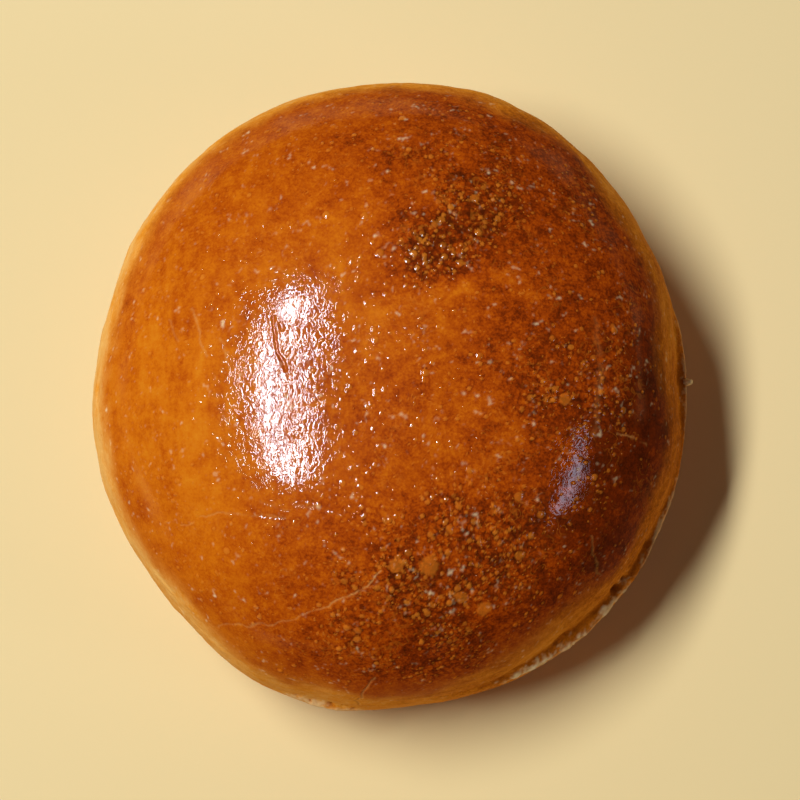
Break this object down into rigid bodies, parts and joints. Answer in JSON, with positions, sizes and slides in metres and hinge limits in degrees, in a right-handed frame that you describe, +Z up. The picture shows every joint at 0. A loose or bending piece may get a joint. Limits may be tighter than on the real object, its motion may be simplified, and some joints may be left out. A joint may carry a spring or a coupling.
{
  "type": "burger bun",
  "caption": "Whole domed burger bun with a glossy egg-washed crust, paler rounded sides and a flat base to rest on.",
  "frame": {"origin": "middle of the flat base, on the surface that the bun rests on, under the middle of its outline", "axes": "+Z up from the base to the crown, +Y along the longest way across, +X across it, towards the side with the darker crust"},
  "size_m": [0.1014, 0.108, 0.054],
  "materials": {
    "crust": "gloss"
  },
  "bodies": {
    "root": {"bun": "crust"}
  },
  "joints": []
}
